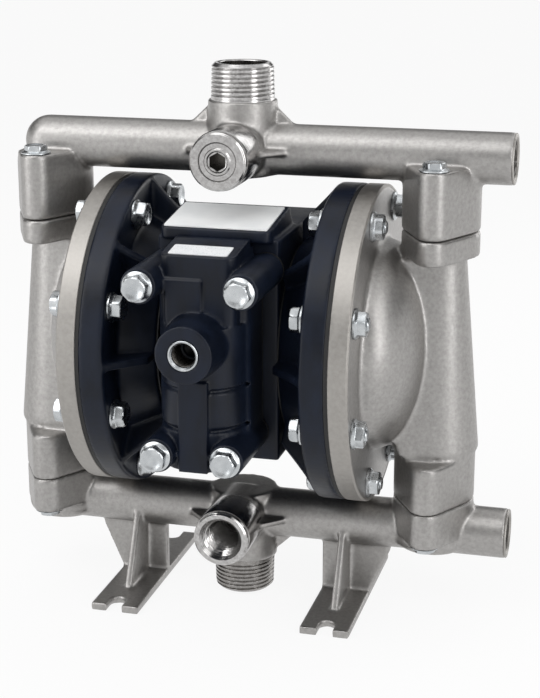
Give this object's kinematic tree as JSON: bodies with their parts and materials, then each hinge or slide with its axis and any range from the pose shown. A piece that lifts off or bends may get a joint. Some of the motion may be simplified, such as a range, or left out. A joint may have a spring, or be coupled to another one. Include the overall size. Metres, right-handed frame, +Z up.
{
  "type": "air operated diaphragm pump",
  "caption": "Air operated double diaphragm pump with flanged liquid caps, moulded air motor, pipe manifolds above and below, ball check valves and notched feet.",
  "frame": {"origin": "on the floor, under the centre ports and the middle of the diaphragm rod", "axes": "+X along the diaphragm rod towards the open pipe ends, +Y to the back away from the air inlet, +Z up"},
  "size_m": [0.2197, 0.1533, 0.2329],
  "materials": {
    "cast_stainless": "satin bead blasted casting",
    "turned_stainless": "machined",
    "plated_fasteners": "bright zinc plated",
    "black_polymer": "moulded, satin, fine grain",
    "black_rubber": "matt",
    "white_fluoropolymer": "smooth",
    "bearing_plastic": "smooth",
    "valve_sleeve_alloy": "hard anodised",
    "bare_plate": "satin, bare",
    "pale_label": "satin, bare"
  },
  "bodies": {
    "housing": {"air_cap_gasket_left": "black_rubber", "air_cap_gasket_right": "black_rubber", "air_cap_left": "black_polymer", "air_cap_right": "black_polymer", "air_cap_screws_left": "plated_fasteners", "air_cap_screws_right": "plated_fasteners", "air_inlet_insert": "turned_stainless", "center_body": "black_polymer", "diaphragm_left": "black_rubber", "diaphragm_right": "black_rubber", "flange_bolts_left": "plated_fasteners", "flange_bolts_right": "plated_fasteners", "flange_nuts_left": "plated_fasteners", "flange_nuts_right": "plated_fasteners", "fluid_cap_left": "cast_stainless", "fluid_cap_right": "cast_stainless", "front_label": "pale_label", "inlet_manifold": "cast_stainless", "inlet_manifold_bolts": "plated_fasteners", "inlet_seat_left": "turned_stainless", "inlet_seat_right": "turned_stainless", "inlet_seat_rings": "black_rubber", "nameplate": "bare_plate", "outlet_manifold": "cast_stainless", "outlet_manifold_bolts": "plated_fasteners", "outlet_port_plug": "turned_stainless", "outlet_seat_left": "turned_stainless", "outlet_seat_right": "turned_stainless", "outlet_seat_rings": "black_rubber", "rod_bushings": "bearing_plastic", "rod_seals": "black_rubber", "spool_end_cap": "black_polymer", "valve_block": "black_polymer", "valve_block_bolts": "plated_fasteners", "valve_block_gasket": "black_rubber", "valve_sleeve": "valve_sleeve_alloy"},
    "diaphragm_assembly": {"connecting_rod": "turned_stainless", "diaphragm_screw_left": "plated_fasteners", "diaphragm_screw_right": "plated_fasteners", "inner_washer_left": "turned_stainless", "inner_washer_right": "turned_stainless", "outer_washer_left": "turned_stainless", "outer_washer_right": "turned_stainless"},
    "spool": {"spool": "turned_stainless"},
    "pilot_rod": {"pilot_rod": "turned_stainless"},
    "outlet_ball_left": {"outlet_ball_left": "white_fluoropolymer"},
    "outlet_ball_right": {"outlet_ball_right": "white_fluoropolymer"},
    "inlet_ball_left": {"inlet_ball_left": "white_fluoropolymer"},
    "inlet_ball_right": {"inlet_ball_right": "white_fluoropolymer"}
  },
  "joints": [
    {"name": "rod_slide", "type": "slide", "parent": "housing", "child": "diaphragm_assembly", "axis": [1, 0, 0], "range_m": [-0.006, 0.006], "deforming": ["diaphragm_left", "diaphragm_right"]},
    {"name": "spool_slide", "type": "slide", "parent": "housing", "child": "spool", "axis": [0, 0, 1], "range_m": [-0.004, 0.004]},
    {"name": "pilot_slide", "type": "slide", "parent": "housing", "child": "pilot_rod", "axis": [1, 0, 0], "range_m": [-0.0035, 0.0035]},
    {"name": "outlet_ball_left_lift", "type": "slide", "parent": "housing", "child": "outlet_ball_left", "axis": [0, 0, 1], "range_m": [0, 0.005]},
    {"name": "outlet_ball_right_lift", "type": "slide", "parent": "housing", "child": "outlet_ball_right", "axis": [0, 0, 1], "range_m": [0, 0.005]},
    {"name": "inlet_ball_left_lift", "type": "slide", "parent": "housing", "child": "inlet_ball_left", "axis": [0, 0, 1], "range_m": [0, 0.005]},
    {"name": "inlet_ball_right_lift", "type": "slide", "parent": "housing", "child": "inlet_ball_right", "axis": [0, 0, 1], "range_m": [0, 0.005]}
  ]
}
